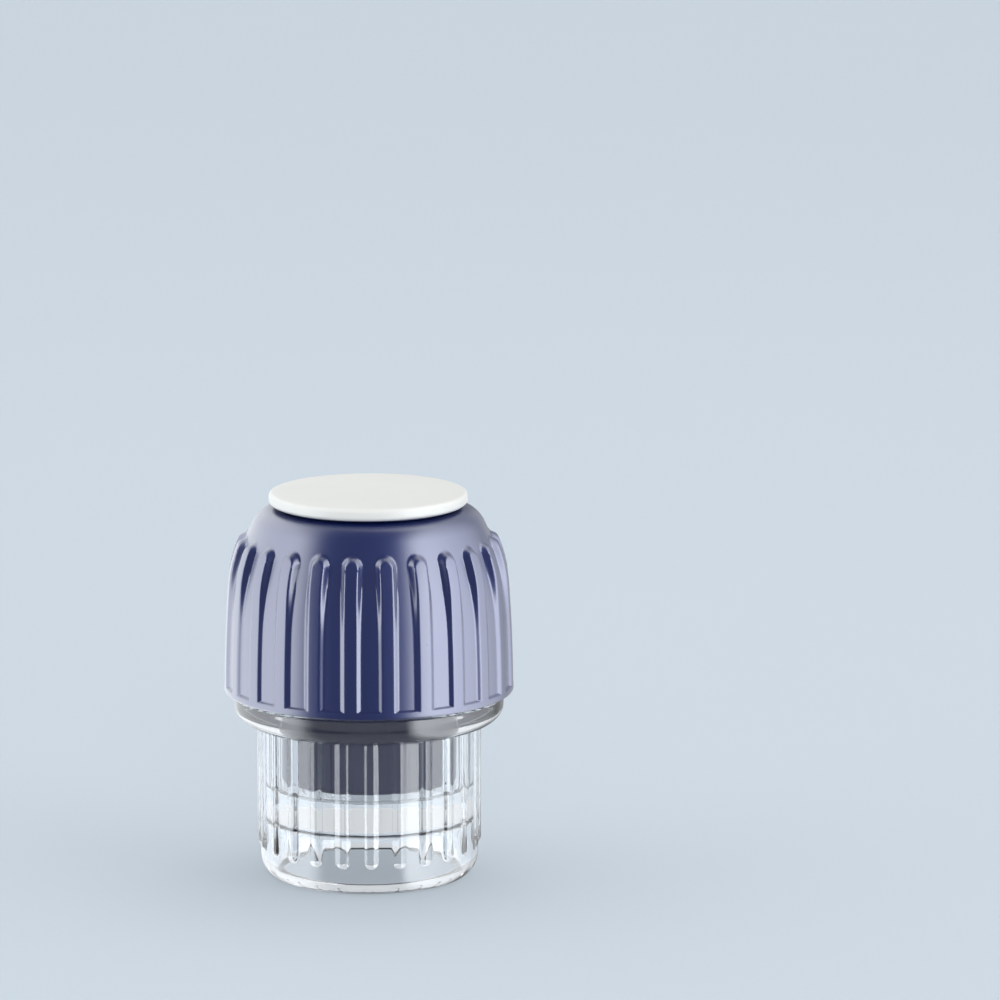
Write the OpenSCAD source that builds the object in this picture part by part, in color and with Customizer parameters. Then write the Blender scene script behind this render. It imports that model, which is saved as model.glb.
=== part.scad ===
// Screw-top pill crusher: a clear cup, a domed cap that screws down on it,
// a hollow plunger that hangs from the cap, and a snap-in lid over the plunger's storage well.
// Millimetres, +Z up, origin at the centre of the ring that the cup stands on.

/* [Cup] */
// Diameter of the cup's body between its ribs
body_d = 38.2; // [37:0.2:40]
// Diameter of the crushing bore
bore_d = 31.2; // [31.2:0.1:32]
// Height of the crushing floor above the base
floor_z = 15.7; // [14:0.1:16]
// Thickness of the crushing floor
floor_t = 5.4; // [3:0.1:6]
// Width of the flat ring that the cup stands on
foot_w = 1; // [0.6:0.1:1.2]
// Radius of the rounding at the foot
foot_round = 4.2; // [3.5:0.1:4.5]
// Number of ribs round the body
body_ribs = 24; // [18:1:28]
// How far a body rib stands proud
body_rib_h = 0.55; // [0.3:0.05:0.8]
// Height at which the body ribs end above the base
body_rib_z = 4.6; // [4:0.2:7]
// Turn of the body ribs about the axis, in degrees
body_rib_turn = 2; // [0:0.5:15]

/* [Collar and neck] */
// Diameter of the collar
collar_d = 47.2; // [46:0.2:48.4]
// Height of the collar's top face above the base
collar_z = 32.4; // [31:0.1:32.4]
// Height of the collar's upright edge
collar_edge = 2.2; // [1.6:0.1:2.6]
// Height of the neck above the collar's top face
neck_h = 15.6; // [14.5:0.1:16.5]
// Diameter of the neck under its thread
neck_d = 39.2; // [38.6:0.1:39.2]

/* [Thread] */
// Rise of the thread in one turn
pitch = 3.9; // [3.7:0.05:4]
// Turns of the thread on the neck
neck_turns = 2.75; // [2:0.25:2.75]
// Turns of the thread inside the cap
cap_turns = 2.25; // [1.5:0.25:2.25]
// Height of the thread on the neck
thread_h = 1.5; // [1.1:0.1:1.5]
// Clearance between the cap and the neck, at crest and root
thread_gap = 0.3; // [0.2:0.05:0.4]

/* [Cap] */
// Diameter of the cap at its rim
cap_d = 50.7; // [50:0.1:52]
// Gap between the collar and the cap's rim when it is screwed down
rim_gap = 0.3; // [0.2:0.05:0.8]
// Height of the cap from its rim to the top of its dome
cap_h = 32.9; // [32:0.1:34]
// Radius of the barrel curve of the cap's side
side_round = 260; // [200:10:400]
// Radius of the curve above it, up to the shoulder
upper_round = 42; // [39:1:45]
// Radius of the shoulder round the top
shoulder_round = 5; // [4.5:0.1:5.4]
// Wall thickness of the cap's top
cap_wall = 2.2; // [1.8:0.1:2.4]
// Number of grip ribs
grip_ribs = 24; // [18:1:26]
// Width of a grip rib
grip_w = 2.8; // [2.2:0.1:3.6]
// Turn of the grip ribs about the axis, in degrees
grip_turn = 1.4; // [0:0.1:15]
// How far the rim band and the feet of the grip ribs stand proud of the dome
grip_h = 0.5; // [0.4:0.05:0.8]
// Radius of the ribs' outer line where it bends in over the shoulder
grip_round = 20.5; // [18:0.5:30]
// Height of the grip ribs' rounded tops above the rim
grip_top = 27.5; // [24:0.1:28]
// Height of the rim band
band_h = 1.4; // [1:0.1:3]

/* [Plunger] */
// Diameter of the plunger
plunger_d = 30.6; // [30.2:0.1:30.6]
// Height of the plunger's face above the crushing floor
crush_gap = 1.5; // [1:0.1:3]
// Rounding of the plunger's lower edge
plunger_round = 1.2; // [0.6:0.1:1.6]
// Diameter of the storage well
well_d = 26.2; // [25:0.1:26.6]
// Thickness of the plunger's closed end
plunger_end = 2.4; // [2:0.1:4]
// Diameter of the flange round the well's mouth
flange_d = 32.5; // [32:0.1:32.8]
// Height of the flange above the dome
flange_h = 0.85; // [0.6:0.05:1]
// Running clearance between the plunger and the cap
shaft_gap = 0.05; // [0.03:0.01:0.1]

/* [Storage lid] */
// Diameter of the lid
lid_d = 34.7; // [34.4:0.1:35]
// Thickness of the lid's plate
lid_t = 1.45; // [1.4:0.05:2]
// Rounding of the lid's rim
lid_round = 0.7; // [0.4:0.1:0.7]
// Length of the lid's plug
plug_h = 4.5; // [3:0.5:6]
// Thickness of the plug's wall
plug_wall = 1.3; // [1:0.1:1.6]

/* [Hidden] */
$fn = 96;
eps = 0.2;                    // overlap that joins one shape to the next
arc_steps = 8;                // straight pieces in a rounded corner
turn_steps = 48;              // straight pieces in one turn of a thread
fade_steps = 8;               // pieces over which a thread's end rises to full height

body_r = body_d / 2;
bore_r = bore_d / 2;
bore_fillet = 1;
foot_rise = 3.5;              // height of the foot rounding's centre above the base
foot_r = body_r - foot_round + sqrt(pow(foot_round, 2) - pow(foot_rise, 2));
skirt_r = foot_r - foot_w;
collar_r = collar_d / 2;
collar_round = 0.7;
bowl_h = 3.2;                 // height of the bowl-shaped underside of the collar
neck_r = neck_d / 2;
neck_z = collar_z + neck_h;
neck_round = 0.8;
rib_r = 1.45;                 // radius of the round bar that makes a body rib

rim_z = collar_z + rim_gap;
dome_z = rim_z + cap_h;
band_r = cap_d / 2;
dome_r = band_r - grip_h;     // radius of the dome's side at the height of the rim
upper_tilt = 26;              // slope of the dome where its upper curve meets the shoulder
shoulder_tilt = 78;           // slope where the shoulder meets the nearly flat top
top_rise = 0.35;              // rise of that top from the shoulder to the hole in its middle
hole_r = plunger_d / 2 + shaft_gap;
upper_drop = top_rise + shoulder_round * (sin(shoulder_tilt) - sin(upper_tilt))
    + upper_round * sin(upper_tilt);
side_h = (cap_h - upper_drop) / (1 - upper_round / side_round);   // where the side meets the upper curve
side_tilt = asin(side_h / side_round);
grip_bend = 20;               // height above the rim at which the ribs' outer line bends in
rim_round = 0.5;
grip_reach = 9;               // radial length of the blank that a grip rib is cut from
ceiling_round = 10;           // radius of the curve inside the shoulder

crest_w = 1;                  // width of a thread at its crest
root_w = 2;                   // width of a thread at its root
thread_z = collar_z + 2.3;    // height of the middle of the neck thread's lower end
thread_crest = neck_r + thread_h;
socket_r = thread_crest + thread_gap;
cap_crest = neck_r + thread_gap;
socket_z = neck_z + 3;        // height up to which the cap's bore is straight

plunger_r = plunger_d / 2;
plunger_z = floor_z + crush_gap;
well_r = well_d / 2;
flange_r = flange_d / 2;
flange_z = dome_z + flange_h;

lid_r = lid_d / 2;
lid_gap = 0.1;                // gap between the lid's plate and the flange
lip_gap = 0.2;                // gap between the lid's lip and the flange inside it
lip_rise = 0.3;               // height of the lid's lip above the dome
plate_z = flange_z + lid_gap;
plug_r = well_r - 0.15;
plug_taper = 0.4;
bead_r = well_r - 0.05;
bead_h = 0.8;

// Points of an arc about [x, z], from angle a to angle b, with or without the first one
function arc(x, z, r, a, b, first = 0) =
    [for (i = [first : arc_steps]) let (t = a + (b - a) * i / arc_steps) [x + r * cos(t), z + r * sin(t)]];

// Points of a profile that starts at radius r, height h above the rim and slope a, and then follows
// arcs given as [radius, slope at the end], all bending inwards
function profile(r, h, a, arcs, i = 0) = i == len(arcs) ? [] :
    let (round_r = arcs[i][0], b = arcs[i][1])
    concat(arc(r - round_r * cos(a), rim_z + h - round_r * sin(a), round_r, a, b, min(i, 1)),
           profile(r - round_r * (cos(a) - cos(b)), h + round_r * (sin(b) - sin(a)), b, arcs, i + 1));

// The dome between its ribs, from height h above the rim up to the end of the shoulder
function dome_line(h) =
    let (a = asin(h / side_round))
    profile(dome_r - side_round * (1 - cos(a)), h, a,
            [[side_round, side_tilt], [upper_round, upper_tilt], [shoulder_round, shoulder_tilt]]);

// The ribs' outer line, from the rim to above their tops
function grip_line() =
    profile(band_r, 0, 0, [[side_round, asin(grip_bend / side_round)], [grip_round, 32]]);

// One ring of a thread's section, at part i of n: two points at the root and two at the crest
function thread_ring(i, n, root, crest, z0) =
    let (a = 360 * i / turn_steps,
         z = z0 + pitch * i / turn_steps,
         k = min(1, 0.2 + 0.8 * min(i, n - i) / fade_steps),
         top = root + (crest - root) * k,
         half = (root_w + (crest_w - root_w) * k) / 2)
    [for (p = [[root, -root_w / 2], [top, -half], [top, half], [root, root_w / 2]])
        [p.x * cos(a), p.x * sin(a), z + p.y]];

// Right-handed thread that rises from z0. It stands out from its root, or in where crest < root.
module thread(turns, root, crest, z0) {
    n = round(turns * turn_steps);
    outward = crest > root;
    sides = [for (i = [0 : n - 1], k = [0 : 3])
        let (a = 4 * i + k, b = 4 * i + (k + 1) % 4) [a, b, b + 4, a + 4]];
    ends = [[3, 2, 1, 0], [for (k = [0 : 3]) 4 * n + k]];
    faces = [for (f = concat(sides, ends)) outward ? f : [f[3], f[2], f[1], f[0]]];
    polyhedron([for (i = [0 : n]) each thread_ring(i, n, root, crest, z0)], faces);
}

// Body of the cup, its collar and its neck, as one turned shape
module cup_turned() {
    bowl = [for (i = [0 : arc_steps]) let (t = -90 * (1 - i / arc_steps))
        [body_r + (collar_r - body_r) * cos(t), collar_z - collar_edge + bowl_h * sin(t)]];
    rotate_extrude() polygon(concat(
        [[skirt_r, 0]],
        arc(body_r - foot_round, foot_rise, foot_round, -asin(foot_rise / foot_round), 0),
        bowl,
        arc(collar_r - collar_round, collar_z - collar_round, collar_round, 0, 90),
        [[neck_r, collar_z]],
        arc(neck_r - neck_round, neck_z - neck_round, neck_round, 0, 90),
        arc(bore_r + neck_round, neck_z - neck_round, neck_round, 90, 180),
        arc(bore_r - bore_fillet, floor_z + bore_fillet, bore_fillet, 0, -90),
        [[0, floor_z], [0, floor_z - floor_t]],
        arc(skirt_r - bore_fillet, floor_z - floor_t - bore_fillet, bore_fillet, 90, 0)));
}

// Rounded bars sunk into the body's wall, each with a round lower end
module body_rib_ring() {
    for (i = [0 : body_ribs - 1])
        rotate([0, 0, body_rib_turn + 360 * i / body_ribs])
            translate([body_r + body_rib_h - rib_r, 0, body_rib_z + rib_r]) {
                cylinder(h = collar_z - collar_edge - body_rib_z - rib_r, r = rib_r, $fn = 32);
                sphere(r = rib_r, $fn = 32);
            }
}

module crushing_cup() {
    color([0.86, 0.9, 0.93, 0.4]) {
        cup_turned();
        body_rib_ring();
        thread(neck_turns, neck_r - eps, thread_crest, thread_z);
    }
}

// Blank of one grip rib, pointing along +X: straight sides and a round top
module grip_blank() {
    translate([band_r - grip_reach, 0, rim_z])
        rotate([90, 0, 90])
            linear_extrude(grip_reach + 1) {
                translate([-grip_w / 2, 0]) square([grip_w, grip_top - grip_w / 2]);
                translate([0, grip_top - grip_w / 2]) circle(d = grip_w, $fn = 48);
            }
}

// Grip ribs: their blanks, cut to the ribs' outer line and sunk a little into the dome
module grip_rib_ring() {
    sink = dome_line(0);
    intersection() {
        rotate_extrude() polygon(concat(
            grip_line(),
            [for (i = [len(sink) - 1 : -1 : 0])
                if (sink[i].y < rim_z + grip_top + 1.5) sink[i] - [eps, 0]]));
        for (i = [0 : grip_ribs - 1])
            rotate([0, 0, grip_turn + 360 * (i + 0.5) / grip_ribs]) grip_blank();
    }
}

// Dome of the cap with its rim band and threaded socket
module cap_turned() {
    corner_x = socket_r - ceiling_round;
    corner_z = dome_z - cap_wall - ceiling_round;
    ceiling_a = acos((hole_r + 0.5 - corner_x) / ceiling_round);   // where the ceiling meets the hole's lip
    ceiling_z = corner_z + ceiling_round * sin(ceiling_a);
    rotate_extrude() polygon(concat(
        [[socket_r, rim_z]],
        arc(band_r - rim_round, rim_z + rim_round, rim_round, -90, 0),
        [[band_r, rim_z + band_h]],
        dome_line(band_h),
        [[hole_r, dome_z], [hole_r, ceiling_z]],
        arc(corner_x, corner_z, ceiling_round, ceiling_a, 0),
        [[socket_r, socket_z]]));
}

module cap_shell() {
    color([0.05, 0.09, 0.32]) {
        cap_turned();
        grip_rib_ring();
        thread(cap_turns, socket_r + eps, cap_crest, thread_z + pitch / 2);
    }
}

module plunger() {
    color([0.06, 0.1, 0.36])
        rotate_extrude() polygon(concat(
            [[0, plunger_z]],
            arc(plunger_r - plunger_round, plunger_z + plunger_round, plunger_round, -90, 0),
            [[plunger_r, dome_z + shaft_gap], [flange_r, dome_z + shaft_gap]],
            [[flange_r, flange_z], [well_r, flange_z]],
            arc(well_r - bore_fillet, plunger_z + plunger_end + bore_fillet, bore_fillet, 0, -90),
            [[0, plunger_z + plunger_end]]));
}

module storage_lid() {
    lip_z = dome_z + lip_rise;
    lip_r = flange_r + lip_gap;
    top_z = plate_z + lid_t;
    bead_z = plate_z - 1.4;
    color([0.95, 0.95, 0.93])
        rotate_extrude() polygon(concat(
            [[0, plate_z], [plug_r - plug_wall, plate_z], [plug_r - plug_wall, plate_z - plug_h]],
            [[plug_r - plug_taper, plate_z - plug_h], [plug_r, bead_z - bead_h], [bead_r, bead_z]],
            [[plug_r, bead_z + bead_h], [plug_r, plate_z], [lip_r, plate_z], [lip_r, lip_z]],
            arc(lid_r - lid_round, lip_z + lid_round, lid_round, -90, 0),
            arc(lid_r - lid_round, top_z - lid_round, lid_round, 0, 90),
            [[0, top_z]]));
}

crushing_cup();
plunger();
cap_shell();
storage_lid();
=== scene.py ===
import math
import bpy
import bmesh
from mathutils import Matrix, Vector


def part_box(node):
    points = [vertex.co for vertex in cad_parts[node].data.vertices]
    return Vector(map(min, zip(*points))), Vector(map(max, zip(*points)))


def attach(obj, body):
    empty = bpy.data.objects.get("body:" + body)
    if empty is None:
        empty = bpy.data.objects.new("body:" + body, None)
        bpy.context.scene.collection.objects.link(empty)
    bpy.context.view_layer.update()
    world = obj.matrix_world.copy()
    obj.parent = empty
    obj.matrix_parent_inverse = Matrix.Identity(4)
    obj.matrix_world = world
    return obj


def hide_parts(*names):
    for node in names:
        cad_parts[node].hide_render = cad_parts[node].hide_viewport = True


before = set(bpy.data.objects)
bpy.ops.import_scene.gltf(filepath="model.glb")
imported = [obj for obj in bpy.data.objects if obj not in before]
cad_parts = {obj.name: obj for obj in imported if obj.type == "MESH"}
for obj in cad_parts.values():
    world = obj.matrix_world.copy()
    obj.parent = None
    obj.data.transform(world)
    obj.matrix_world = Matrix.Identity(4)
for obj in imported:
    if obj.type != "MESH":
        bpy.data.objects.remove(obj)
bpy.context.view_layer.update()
mm = 0.001
fullTurn = 2 * math.pi
upAxis = Vector((0, 0, 1))
origin = Vector((0, 0, 0))


def boxOf(node):
    # outer radius, lowest and highest point of a round node, in millimetres
    low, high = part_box(node)
    return {"radius": (high[0] - low[0]) / 2 / mm, "low": low[2] / mm, "high": high[2] / mm}


cupBox = boxOf("crushing_cup")
plungerBox = boxOf("plunger")
capBox = boxOf("cap_shell")
lidBox = boxOf("storage_lid")


def drawOutline(bm, corners):
    # corners are (radius, height, rounding, cuts in the stretch that follows), in millimetres
    points = [bm.verts.new((r, 0, z)) for r, z, _, _ in corners]
    stretches = []
    for here, there, corner in zip(points, points[1:], corners):
        stretches.append((bm.edges.new((here, there)), corner[3]))
    for edge, cuts in stretches:
        if cuts:
            bmesh.ops.subdivide_edges(bm, edges=[edge], cuts=cuts)
    for r, z, rounding, _ in corners:
        if rounding:
            corner = min(bm.verts, key=lambda v: (v.co - Vector((r, 0, z))).length)
            bmesh.ops.bevel(bm, geom=[corner], offset=rounding, offset_type="OFFSET", segments=6,
                            profile=0.5, affect="VERTICES", material=-1)


def turnOutline(bm, steps):
    # spins everything drawn so far into a closed shape round the axis
    bmesh.ops.spin(bm, geom=bm.verts[:] + bm.edges[:], cent=origin, axis=upAxis,
                   angle=fullTurn, steps=steps, use_merge=True)
    bmesh.ops.remove_doubles(bm, verts=bm.verts[:], dist=0.002)
    bmesh.ops.recalc_face_normals(bm, faces=bm.faces[:])


def meshObject(bm, name, sharpAngle=38):
    # turns a bmesh in millimetres into an object in metres, at the origin
    bmesh.ops.scale(bm, vec=(mm, mm, mm), verts=bm.verts[:])
    mesh = bpy.data.meshes.new(name)
    bm.to_mesh(mesh)
    bm.free()
    for face in mesh.polygons:
        face.use_smooth = True
    mesh.set_sharp_from_angle(angle=math.radians(sharpAngle))
    piece = bpy.data.objects.new(name, mesh)
    bpy.context.scene.collection.objects.link(piece)
    return piece


def softMax(a, b, blend):
    # the larger of two values, with a fillet of size blend where they cross
    reach = max(blend - abs(a - b), 0)
    return max(a, b) + reach * reach / (4 * blend)


def softStep(x):
    # an S-shaped rise from 0 to 1
    x = min(max(x, 0), 1)
    return x * x * (3 - 2 * x)


def softRamp(x):
    # an even slope from 0 to 1 that is only rounded at its two ends
    x, end = min(max(x, 0), 1), 0.2
    if x < end:
        return x * x / (2 * end * (1 - end))
    if x > 1 - end:
        return 1 - (1 - x) ** 2 / (2 * end * (1 - end))
    return (x - end / 2) / (1 - end)


def setRadius(v, radius, wanted):
    # moves a vertex in or out from the axis
    v.co.x *= wanted / radius
    v.co.y *= wanted / radius


def helix(bm, spec):
    # a closed bar of the thread's section, swept up its helix and faded in at both ends
    section = [(spec["root"], -spec["rootWidth"] / 2), (spec["crest"], -spec["crestWidth"] / 2),
               (spec["crest"], spec["crestWidth"] / 2), (spec["root"], spec["rootWidth"] / 2)]
    corners = [bm.verts.new((r, 0, spec["start"] + z)) for r, z in section]
    for i in range(4):
        bm.edges.new((corners[i], corners[(i + 1) % 4]))
    bmesh.ops.bevel(bm, geom=corners[1:3], offset=spec["rounding"], offset_type="OFFSET", segments=3,
                    profile=0.5, affect="VERTICES", material=-1)
    bmesh.ops.edgeloop_fill(bm, edges=bm.edges[:])
    steps = round(spec["turns"] * spec["stepsPerTurn"])
    bmesh.ops.spin(bm, geom=bm.verts[:] + bm.edges[:] + bm.faces[:], cent=origin, axis=upAxis,
                   dvec=(0, 0, spec["pitch"] / spec["stepsPerTurn"]),
                   angle=fullTurn * spec["turns"], steps=steps)
    middle = spec["turns"] * spec["pitch"] / 2
    stub = 0.12   # share of the thread's height that is left at its very ends
    for v in bm.verts:
        radius = math.hypot(v.co.x, v.co.y)
        along = middle - abs(v.co.z - spec["start"] - middle)
        rise = softStep((along + spec["fade"] * 0.2) / spec["fade"])
        setRadius(v, radius, spec["root"] + (radius - spec["root"]) * (stub + (1 - stub) * rise))
    bmesh.ops.recalc_face_normals(bm, faces=bm.faces[:])


cupSpec = {
    "bodyRadius": 19.1, "boreRadius": 15.6, "skirtRadius": 16.22, "footRise": 3.5,
    "footRound": 4.2, "floorTop": 15.7, "floorThick": 5.4, "collarTop": 32.4, "collarEdge": 2.2,
    "bowlHeight": 3.2, "neckRadius": 19.6, "ribs": 24, "ribBar": 1.45, "ribProud": 0.55,
    "ribEnd": 4.6, "ribTurn": 2.0, "ribFillet": 0.22, "columns": 480,
}
threadSpec = {
    "pitch": 3.9, "turns": 2.75, "root": 19.4, "crest": 21.1, "rootWidth": 2.0, "crestWidth": 1.0,
    "start": 34.7, "rounding": 0.3, "stepsPerTurn": 96, "fade": 0.5,
}


def cupRibs(bm, spec):
    # round bars sunk into the wall, each with a round lower end, blended with a small fillet
    bar, centre = spec["ribBar"], spec["bodyRadius"] + spec["ribProud"] - spec["ribBar"]
    pitch = fullTurn / spec["ribs"]
    endHeight = spec["ribEnd"] + bar
    lowest, highest = 3, spec["collarTop"] - spec["collarEdge"]
    outside = spec["bodyRadius"] - 1.2   # vertices further in than this belong to the bore
    for v in bm.verts:
        radius = math.hypot(v.co.x, v.co.y)
        if radius < outside or v.co.z < lowest or v.co.z > highest:
            continue
        angle = math.atan2(v.co.y, v.co.x) - math.radians(spec["ribTurn"])
        offset = (angle + pitch / 2) % pitch - pitch / 2
        below = max(endHeight - v.co.z, 0)
        room = bar * bar - below * below - (centre * math.sin(offset)) ** 2
        if room > 0:
            onBar = centre * math.cos(offset) + math.sqrt(room)
            setRadius(v, radius, softMax(radius, onBar, spec["ribFillet"]))


def makeCup(spec, thread):
    bm = bmesh.new()
    body, bore, skirt = spec["bodyRadius"], spec["boreRadius"], spec["skirtRadius"]
    floorTop, floorLow = spec["floorTop"], spec["floorTop"] - spec["floorThick"]
    edgeLow = spec["collarTop"] - spec["collarEdge"]
    collar, neck = cupBox["radius"], spec["neckRadius"]
    foot = []
    for i in range(11):
        turn = math.asin(spec["footRise"] / spec["footRound"]) * (i / 10 - 1)
        foot.append((body - spec["footRound"] * (1 - math.cos(turn)),
                     spec["footRise"] + spec["footRound"] * math.sin(turn), 0, 0))
    bowl = []
    for i in range(15):
        turn = math.pi / 2 * (i / 14 - 1)
        bowl.append((body + (collar - body) * math.cos(turn),
                     edgeLow + spec["bowlHeight"] * math.sin(turn), 0, 0))
    drawOutline(bm, [(0, floorLow, 0, 3), (skirt, floorLow, 1.0, 3), (skirt, cupBox["low"], 0.15, 0)]
                + [(foot[0][0], foot[0][1], 0.12, 0)] + foot[1:-1]
                + [(body, spec["footRise"], 0, 2), (body, 4.3, 0, 14), (body, 6.5, 0, 12)]
                + bowl[:-1]
                + [(collar, edgeLow, 0, 1), (collar, spec["collarTop"], 0.7, 1),
                   (neck, spec["collarTop"], 0.35, 6), (neck, cupBox["high"], 0.8, 1),
                   (bore, cupBox["high"], 0.8, 10),
                   (bore, floorTop, 1.0, 3), (0, floorTop, 0, 0)])
    turnOutline(bm, spec["columns"])
    cupRibs(bm, spec)
    cup = meshObject(bm, "clearCup")
    bm = bmesh.new()
    helix(bm, thread)
    bar = meshObject(bm, "neckThread")
    join = cup.modifiers.new("join", "BOOLEAN")   # clear plastic needs its thread as one skin with the neck
    join.operation, join.solver, join.object = "UNION", "EXACT", bar
    joined = bpy.data.meshes.new_from_object(cup.evaluated_get(bpy.context.evaluated_depsgraph_get()))
    cup.modifiers.clear()
    plain, cup.data = cup.data, joined
    bpy.data.meshes.remove(plain)
    bpy.data.meshes.remove(bar.data)
    joined.set_sharp_from_angle(angle=math.radians(38))
    return cup


capSpec = {
    "sideRound": 260.0, "upperRound": 42.0, "upperTilt": 26.0, "shoulderRound": 5.0, "shoulderTilt": 78.0,
    "topRise": 0.35, "ceilingRound": 10.0, "wall": 2.2, "rimRound": 0.5, "gripBend": 20.0, "gripRound": 20.5,
    "ribs": 24, "ribWidth": 2.8, "ribTurn": 1.4, "ribProud": 0.5, "ribTop": 27.5, "ribEdge": 0.45,
    "bandHeight": 1.4, "bandEdge": 0.25, "socketRadius": 21.4, "socketTop": 51.0, "holeRadius": 15.35,
    "columnsPerRib": 32,
}
capThreadSpec = {
    "pitch": 3.9, "turns": 2.25, "root": 21.6, "crest": 19.9, "rootWidth": 2.0, "crestWidth": 1.0,
    "start": 36.65, "rounding": 0.3, "stepsPerTurn": 96, "fade": 0.5,
}


def arcChain(radius, arcs):
    # arcs that bend inwards one after the other from an upright start at the rim; heights are above the rim
    chain, height, tilt = [], 0, 0
    for size, degrees in arcs:
        end = math.radians(degrees)
        centre = (radius - size * math.cos(tilt), height - size * math.sin(tilt))
        radius, height, tilt = centre[0] + size * math.cos(end), centre[1] + size * math.sin(end), end
        chain.append({"centre": centre, "size": size, "radius": radius, "height": height, "tilt": end})
    return chain


def chainRadius(chain, height):
    # the radius that a chain of arcs has at a height above the rim
    for arc in chain:
        if height <= arc["height"]:
            break
    rise = height - arc["centre"][1]
    return arc["centre"][0] + math.sqrt(max(arc["size"] ** 2 - rise * rise, 0))


def domeArcs(spec):
    # the dome between its ribs: barrel-shaped side, upper curve and shoulder
    upperTilt, shoulderTilt = math.radians(spec["upperTilt"]), math.radians(spec["shoulderTilt"])
    above = (spec["topRise"] + spec["upperRound"] * math.sin(upperTilt)
             + spec["shoulderRound"] * (math.sin(shoulderTilt) - math.sin(upperTilt)))
    sideHeight = (capBox["high"] - capBox["low"] - above) / (1 - spec["upperRound"] / spec["sideRound"])
    sideTilt = math.degrees(math.asin(sideHeight / spec["sideRound"]))
    return arcChain(capBox["radius"] - spec["ribProud"],
                    [(spec["sideRound"], sideTilt), (spec["upperRound"], spec["upperTilt"]),
                     (spec["shoulderRound"], spec["shoulderTilt"])])


def gripArcs(spec):
    # the outer line of the ribs
    bendTilt = math.degrees(math.asin(spec["gripBend"] / spec["sideRound"]))
    return arcChain(capBox["radius"], [(spec["sideRound"], bendTilt), (spec["gripRound"], 40)])


dome, grip = domeArcs(capSpec), gripArcs(capSpec)


def gatherColumns(bm, spec):
    # draws the columns of the mesh together at the ribs' edges
    pitch, turn = fullTurn / spec["ribs"], math.radians(spec["ribTurn"])
    edge = spec["ribWidth"] / (capBox["radius"] * pitch)   # its edge, from 0 mid-rib to 1 mid-groove
    pull = 1.45   # 1 leaves the columns evenly spaced
    for v in bm.verts:
        radius = math.hypot(v.co.x, v.co.y)
        if radius < 0.01:
            continue
        angle = math.atan2(v.co.y, v.co.x) - turn
        sector = math.floor(angle / pitch)
        offset = (angle / pitch - sector - 0.5) * 2
        size = abs(offset)
        if size < edge:
            moved = edge * (1 - (1 - size / edge) ** pull)
        else:
            moved = edge + (1 - edge) * ((size - edge) / (1 - edge)) ** pull
        angle = (sector + 0.5 + math.copysign(moved, offset) / 2) * pitch + turn
        v.co.x, v.co.y = radius * math.cos(angle), radius * math.sin(angle)


def capRibs(bm, spec):
    # raises the grip ribs, with round tops, and the rim band that they run into
    pitch, turn = fullTurn / spec["ribs"], math.radians(spec["ribTurn"])
    halfWidth = spec["ribWidth"] / 2
    for v in bm.verts:
        radius = math.hypot(v.co.x, v.co.y)
        height = v.co.z - capBox["low"]
        if height > spec["ribTop"] + 1:
            continue
        ground = chainRadius(dome, height)
        if radius < ground - spec["rimRound"] - 0.1:   # on the inside
            continue
        angle = math.atan2(v.co.y, v.co.x) - turn
        across = radius * ((angle % pitch) - pitch / 2)
        above = max(height - (spec["ribTop"] - halfWidth), 0)
        onRib = softRamp(0.5 - (math.hypot(across, above) - halfWidth) / (2 * spec["ribEdge"]))
        onBand = softStep(0.5 - (height - spec["bandHeight"]) / (2 * spec["bandEdge"]))
        setRadius(v, radius, radius + (chainRadius(grip, height) - ground) * max(onRib, onBand))


def makeCap(spec, thread):
    bm = bmesh.new()
    rim, top = capBox["low"], capBox["high"]
    socket, hole = spec["socketRadius"], spec["holeRadius"]
    shoulder = []
    shoulderArc, upperArc = dome[2], dome[1]
    for i in range(13):
        turn = shoulderArc["tilt"] + (upperArc["tilt"] - shoulderArc["tilt"]) * i / 12
        shoulder.append((shoulderArc["centre"][0] + shoulderArc["size"] * math.cos(turn),
                         rim + shoulderArc["centre"][1] + shoulderArc["size"] * math.sin(turn), 0, 0))
    bandTop, bandLow = spec["bandHeight"] + 0.5, spec["bandHeight"] - 0.5
    side = []
    low = upperArc["height"]
    for high, rows in ((spec["ribTop"] - 2.6, 17), (dome[0]["height"], 7), (bandTop, 7)):
        for i in range(1, rows + 1):
            height = low + (high - low) * i / rows
            side.append((chainRadius(dome, height), rim + height, 0, 0))
        low = high
    side[-1] = side[-1][:3] + (9,)
    edge = chainRadius(dome, 0)
    rimEdge = []
    for i in range(7):
        turn = math.pi / 2 * i / 6
        rimEdge.append((edge - spec["rimRound"] * (1 - math.cos(turn)),
                        rim + spec["rimRound"] * (1 - math.sin(turn)), 0, 2 if i == 6 else 0))
    corner = spec["ceilingRound"]
    cornerRadius, cornerHeight = socket - corner, top - spec["wall"] - corner
    lipTurn = math.acos((hole + 0.5 - cornerRadius) / corner)
    inner = []
    for i in range(9):
        turn = lipTurn * i / 8
        inner.append((cornerRadius + corner * math.cos(turn), cornerHeight + corner * math.sin(turn), 0, 0))
    lip = (hole, cornerHeight + corner * math.sin(lipTurn), 0, 0)
    drawOutline(bm, [lip[:3] + (3,), (hole, top, 0.2, 3)]
                + shoulder + side
                + [(chainRadius(dome, bandLow), rim + bandLow, 0, 0)]
                + rimEdge
                + [(socket, rim, 0.3, 10), (socket, spec["socketTop"], 0, 2)]
                + inner + [lip])
    turnOutline(bm, spec["ribs"] * spec["columnsPerRib"])
    gatherColumns(bm, spec)
    capRibs(bm, spec)
    helixMesh = bmesh.new()
    helix(helixMesh, thread)
    scratch = bpy.data.meshes.new("capThread")
    helixMesh.to_mesh(scratch)
    helixMesh.free()
    bm.from_mesh(scratch)
    bpy.data.meshes.remove(scratch)
    return meshObject(bm, "gripCap")


plungerSpec = {
    "radius": 15.3, "wellRadius": 13.1, "endThick": 2.4, "edgeRound": 1.2, "columns": 192,
}


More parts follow.
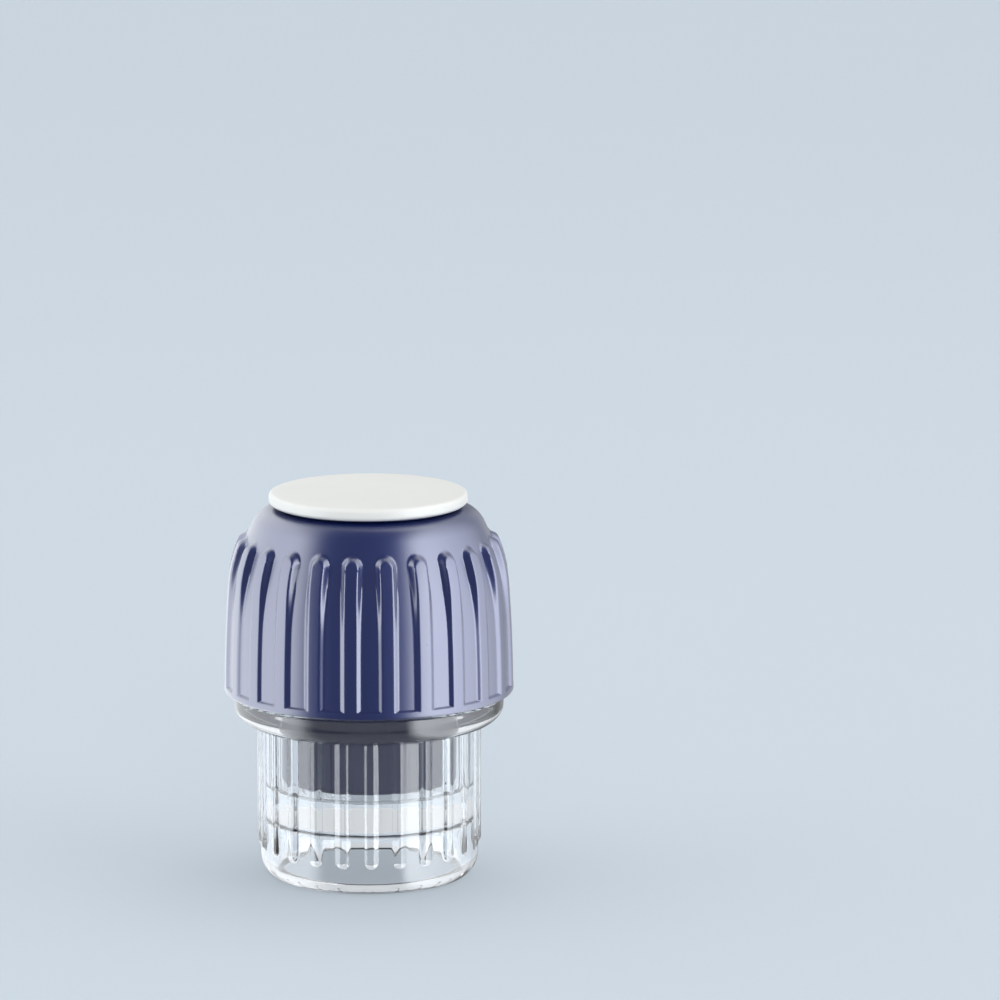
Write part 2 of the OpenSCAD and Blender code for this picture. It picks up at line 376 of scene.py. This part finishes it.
def makePlunger(spec):
    bm = bmesh.new()
    low, high = plungerBox["low"], plungerBox["high"]
    shaft, well, flange = spec["radius"], spec["wellRadius"], plungerBox["radius"]
    shoulder, wellFloor = capBox["high"] + 0.05, low + spec["endThick"]
    drawOutline(bm, [(0, low, 0, 3), (shaft, low, spec["edgeRound"], 12), (shaft, shoulder, 0, 0),
                     (flange, shoulder, 0.1, 0), (flange, high, 0.25, 1),
                     (well, high, 0.3, 12), (well, wellFloor, 1.0, 3), (0, wellFloor, 0, 0)])
    turnOutline(bm, spec["columns"])
    return meshObject(bm, "wellPlunger")


lidSpec = {
    "plate": 1.45, "lipInner": 16.45, "lipRise": 0.3, "rimRound": 0.7,
    "plugRadius": 12.95, "plugWall": 1.3, "plugTaper": 0.4, "beadRadius": 13.05,
    "beadDrop": 1.4, "beadHeight": 0.8, "columns": 192,
}


def makeLid(spec):
    bm = bmesh.new()
    low, high, radius = lidBox["low"], lidBox["high"], lidBox["radius"]
    plate = high - spec["plate"]
    lip = capBox["high"] + spec["lipRise"]
    bead = plate - spec["beadDrop"]
    plug, inner = spec["plugRadius"], spec["plugRadius"] - spec["plugWall"]
    drawOutline(bm, [(0, plate, 0, 3), (inner, plate, 0.3, 3), (inner, low, 0.2, 0),
                     (plug - spec["plugTaper"], low, 0.3, 2), (plug, bead - spec["beadHeight"], 0, 1),
                     (spec["beadRadius"], bead, 0.2, 1), (plug, bead + spec["beadHeight"], 0, 0),
                     (plug, plate, 0.2, 2), (spec["lipInner"], plate, 0.1, 0),
                     (spec["lipInner"], lip, 0.1, 0), (radius, lip, spec["rimRound"], 0),
                     (radius, high, spec["rimRound"], 6), (0, high, 0, 0)])
    turnOutline(bm, spec["columns"])
    return meshObject(bm, "snapLid")


cup = makeCup(cupSpec, threadSpec)
print("cup", len(cup.data.polygons), "faces")
cap = makeCap(capSpec, capThreadSpec)
print("cap", len(cap.data.polygons), "faces")
plunger = makePlunger(plungerSpec)
lid = makeLid(lidSpec)
print("plunger and lid", len(plunger.data.polygons), len(lid.data.polygons), "faces")


class Wire:
    # one output socket of a material; sums on it add Math nodes
    def __init__(self, tree, out):
        self.tree, self.out = tree, out

    def node(self, kind, settings, inputs, output=0):
        made = self.tree.nodes.new(kind)
        for key, value in settings.items():
            if key == "stops":
                for stop, (place, colour) in zip(made.color_ramp.elements, value):
                    stop.position, stop.color = place, colour
            else:
                setattr(made, key, value)
        for key, value in inputs.items():
            if isinstance(value, Wire):
                self.tree.links.new(value.out, made.inputs[key])
            else:
                made.inputs[key].default_value = value
        return Wire(self.tree, made.outputs[output])

    def sum(self, operation, a, b):
        return self.node("ShaderNodeMath", {"operation": operation}, {0: a, 1: b})

    def __add__(self, other):
        return self.sum("ADD", self, other)

    def __sub__(self, other):
        return self.sum("SUBTRACT", self, other)

    def __rsub__(self, other):
        return self.sum("SUBTRACT", other, self)

    def __mul__(self, other):
        return self.sum("MULTIPLY", self, other)

    __radd__ = __add__
    __rmul__ = __mul__


def startMaterial(name):
    # a bare material and the wire of its object coordinates
    material = bpy.data.materials.new(name)
    material.use_nodes = True
    tree = material.node_tree
    tree.nodes.clear()
    coords = tree.nodes.new("ShaderNodeTexCoord")
    return material, Wire(tree, coords.outputs["Object"])


def endMaterial(material, shader):
    out = material.node_tree.nodes.new("ShaderNodeOutputMaterial")
    material.node_tree.links.new(shader.out, out.inputs["Surface"])
    return material


def noise(place, size, detail, rough=0.5):
    # size is that of one lump, in millimetres
    return place.node("ShaderNodeTexNoise", {}, {"Vector": place, "Scale": 1 / (size * mm), "Detail": detail,
                                                 "Roughness": rough}, "Fac")


def stretch(place, scale, turn=(0, 0, 0)):
    return place.node("ShaderNodeMapping", {}, {"Vector": place, "Scale": scale, "Rotation": turn})


blueSpec = {
    "colour": (0.0022, 0.0095, 0.082, 1), "paler": (0.0034, 0.0135, 0.100, 1),
    "roughness": 0.29, "smudge": 0.08, "coat": 0.9, "grain": 0.25, "grainDepth": 0.003,
}
# the insert is the same blue plastic as the cap; its colour is that blue lifted paler and greyer by a
# painted haze of reflected light
insertSpecWithPaintedHaze = {
    "colour": (0.022, 0.024, 0.072, 1), "paler": (0.026, 0.028, 0.085, 1),
    "roughness": 0.48, "smudge": 0.08, "coat": 0.3, "grain": 0.25, "grainDepth": 0.006,
}
lidFinish = {
    "colour": (0.84, 0.83, 0.79, 1), "paler": (0.80, 0.79, 0.75, 1),
    "roughness": 0.42, "smudge": 0.12, "coat": 0.0, "grain": 0.18, "grainDepth": 0.008,
}
clearSpec = {
    "colour": (0.985, 0.992, 1.0, 1), "roughness": 0.02, "ior": 1.5, "ripple": 2.5, "rippleDepth": 0.012,
    "shadow": (0.96, 0.97, 0.98, 1),
}


def mouldedPlastic(name, spec):
    # opaque moulded plastic: slight change of colour, handling smudges in the gloss, a fine tool grain
    material, place = startMaterial(name)
    cloud = noise(place, 14, 3)
    smear = noise(stretch(place, (1, 1, 0.35)), 4, 5, 0.6)
    scratch = noise(stretch(place, (1, 0.04, 0.6), (0.3, 0.2, 0.5)), 0.35, 2)
    colour = place.node("ShaderNodeMix", {"data_type": "RGBA"},
                        {"Factor": cloud, 6: spec["colour"], 7: spec["paler"]}, 2)
    fine = noise(place, spec["grain"], 4)
    bump = place.node("ShaderNodeBump", {}, {"Strength": 1.0, "Distance": spec["grainDepth"] * mm,
                                             "Height": fine + scratch * 0.4})
    shader = place.node("ShaderNodeBsdfPrincipled", {}, {
        "Base Color": colour, "Roughness": smear * spec["smudge"] + (spec["roughness"] - spec["smudge"] / 2),
        "IOR": 1.5, "Coat Weight": spec["coat"], "Coat Roughness": spec["roughness"], "Coat IOR": 1.5,
        "Normal": bump})
    return endMaterial(material, shader)


def clearPlastic(name, spec):
    # solid clear plastic with the faint ripple of its mould; lamps shine through it
    material, place = startMaterial(name)
    ripple = noise(stretch(place, (1, 1, 0.4)), spec["ripple"], 2)
    bump = place.node("ShaderNodeBump", {}, {"Strength": 1.0, "Distance": spec["rippleDepth"] * mm,
                                             "Height": ripple})
    solid = place.node("ShaderNodeBsdfPrincipled", {}, {
        "Base Color": spec["colour"], "Roughness": spec["roughness"], "IOR": spec["ior"],
        "Transmission Weight": 1.0, "Normal": bump})
    gap = place.node("ShaderNodeBsdfTransparent", {}, {"Color": spec["shadow"]})
    path = place.node("ShaderNodeLightPath", {}, {}, "Is Shadow Ray")
    shader = place.node("ShaderNodeMixShader", {}, {0: path, 1: solid, 2: gap})
    return endMaterial(material, shader)


capBlue = mouldedPlastic("capBlue", blueSpec)
insertBlue = mouldedPlastic("insertBlue", insertSpecWithPaintedHaze)
lidWhite = mouldedPlastic("lidWhite", lidFinish)
cupClear = clearPlastic("cupClear", clearSpec)

for piece, node, body, slot, material in (
        (cup, "crushing_cup", "cup", "clear_plastic", cupClear),
        (plunger, "plunger", "plunger", "blue_insert", insertBlue),
        (cap, "cap_shell", "cap", "blue_cap", capBlue),
        (lid, "storage_lid", "lid", "white_lid", lidWhite)):
    piece.data.materials.append(material)
    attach(piece, body)
    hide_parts(node)
print("pieces ride on their bodies")


stageSpec = {"half": 6.0, "colour": (0.36, 0.40, 0.44, 1), "glow": (0.215, 0.24, 0.265, 1)}
studioSpec = {
    "colour": (0.93, 0.965, 1.0, 1), "strength": 0.72, "mirrorDim": 0.44, "diffuseShare": 0.09,
    "left": {"aim": (-1, 0.476), "start": 0.56, "soft": 0.20, "bright": 4.9, "fade": 0.80, "least": 0.6},
    "right": {"aim": (1, 0.244), "start": 0.42, "soft": 0.12, "bright": 4.9, "fade": 1.2, "least": 0.4},
}
lightSpecs = [
    {"name": "topSoftbox", "size": (0.50, 0.35), "place": (0.10, 0.35, 0.85), "watts": 0.9,
     "colour": (1, 0.98, 0.94)},
    {"name": "frontFill", "size": (0.40, 0.40), "place": (0.10, -0.90, 0.45), "watts": 2.3,
     "colour": (1, 0.98, 0.94), "hidden": True},
]
cameraSpec = {"distance": 1.1, "elevation": 10.95, "lens": 225.7, "aimRight": 0.02298, "aimUp": 0.0331}


def makeStage(spec):
    bm = bmesh.new()
    bmesh.ops.create_grid(bm, x_segments=1, y_segments=1, size=spec["half"])
    mesh = bpy.data.meshes.new("floor")
    bm.to_mesh(mesh)
    bm.free()
    floor = bpy.data.objects.new("floor", mesh)
    bpy.context.scene.collection.objects.link(floor)
    material, place = startMaterial("floorPaper")
    tone = noise(place, 60, 2)
    pale = tuple(c * 0.985 for c in spec["colour"][:3]) + (1,)
    colour = place.node("ShaderNodeMix", {"data_type": "RGBA"},
                        {"Factor": tone, 6: spec["colour"], 7: pale}, 2)
    shader = place.node("ShaderNodeBsdfPrincipled", {}, {
        "Base Color": colour, "Roughness": 0.9, "Emission Color": spec["glow"], "Emission Strength": 1.0})
    floor.data.materials.append(endMaterial(material, shader))
    floor.visible_glossy = False   # the tall side lights show in the gloss down to the object's foot


def makeStudio(spec):
    # an even pale room with one tall bright panel to the left and one to the right, soft at their edges
    world = bpy.data.worlds.new("studio")
    world.use_nodes = True
    tree = world.node_tree
    coords = tree.nodes.new("ShaderNodeTexCoord")
    way = Wire(tree, coords.outputs["Generated"])
    x = way.node("ShaderNodeSeparateXYZ", {}, {0: way}, 0)
    y = way.node("ShaderNodeSeparateXYZ", {}, {0: way}, 1)
    glow = None
    for panel in (spec["left"], spec["right"]):
        inside = x * panel["aim"][0] + y * panel["aim"][1]
        start, soft = panel["start"], panel["soft"]
        mask = way.node("ShaderNodeMapRange", {"interpolation_type": "SMOOTHSTEP"},
                        {0: inside, 1: start - soft, 2: start + soft, 3: 0.0, 4: 1.0})
        bright = way.node("ShaderNodeMath", {"operation": "MAXIMUM"},
                          {0: (1 - y * panel["fade"]) * panel["bright"], 1: panel["least"]})
        part = mask * bright
        glow = part if glow is None else glow + part
    gloss = way.node("ShaderNodeLightPath", {}, {}, "Is Glossy Ray")
    through = way.node("ShaderNodeLightPath", {}, {}, "Is Transmission Ray")
    mirrored = gloss * (1 - through)
    scattered = way.node("ShaderNodeLightPath", {}, {}, "Is Diffuse Ray")
    share = mirrored + scattered * spec["diffuseShare"]
    background = tree.nodes["Background"]
    background.inputs["Color"].default_value = spec["colour"]
    room = spec["strength"] - mirrored * spec["mirrorDim"]
    tree.links.new((glow * share + room).out, background.inputs["Strength"])
    bpy.context.scene.world = world


def makeLight(spec, aim):
    lamp = bpy.data.lights.new(spec["name"], "AREA")
    lamp.shape, lamp.size, lamp.size_y = "RECTANGLE", spec["size"][0], spec["size"][1]
    lamp.energy, lamp.color = spec["watts"], spec["colour"]
    holder = bpy.data.objects.new(spec["name"], lamp)
    holder.location = spec["place"]
    if spec.get("hidden"):   # it fills the shadows and is not mirrored
        holder.visible_glossy = holder.visible_transmission = False
    holder.rotation_euler = (aim - Vector(spec["place"])).to_track_quat("-Z", "Y").to_euler()
    bpy.context.scene.collection.objects.link(holder)


def makeCamera(spec):
    tilt = math.radians(spec["elevation"])
    forward = Vector((0, math.cos(tilt), -math.sin(tilt)))
    up = Vector((0, math.sin(tilt), math.cos(tilt)))
    aim = Vector((spec["aimRight"], 0, capBox["low"] * mm)) + up * spec["aimUp"]
    lens = bpy.data.cameras.new("camera")
    lens.lens, lens.sensor_width = spec["lens"], 36
    lens.clip_end = 50
    camera = bpy.data.objects.new("camera", lens)
    camera.location = aim - forward * spec["distance"]
    camera.rotation_euler = forward.to_track_quat("-Z", "Y").to_euler()
    bpy.context.scene.collection.objects.link(camera)
    bpy.context.scene.camera = camera


middle = Vector((0, 0, lidBox["high"] * mm / 2))
makeStage(stageSpec)
makeStudio(studioSpec)
bpy.context.scene.view_settings.view_transform = "Standard"
for spec in lightSpecs:
    makeLight(spec, middle)
makeCamera(cameraSpec)
print("stage, lights and camera are set")
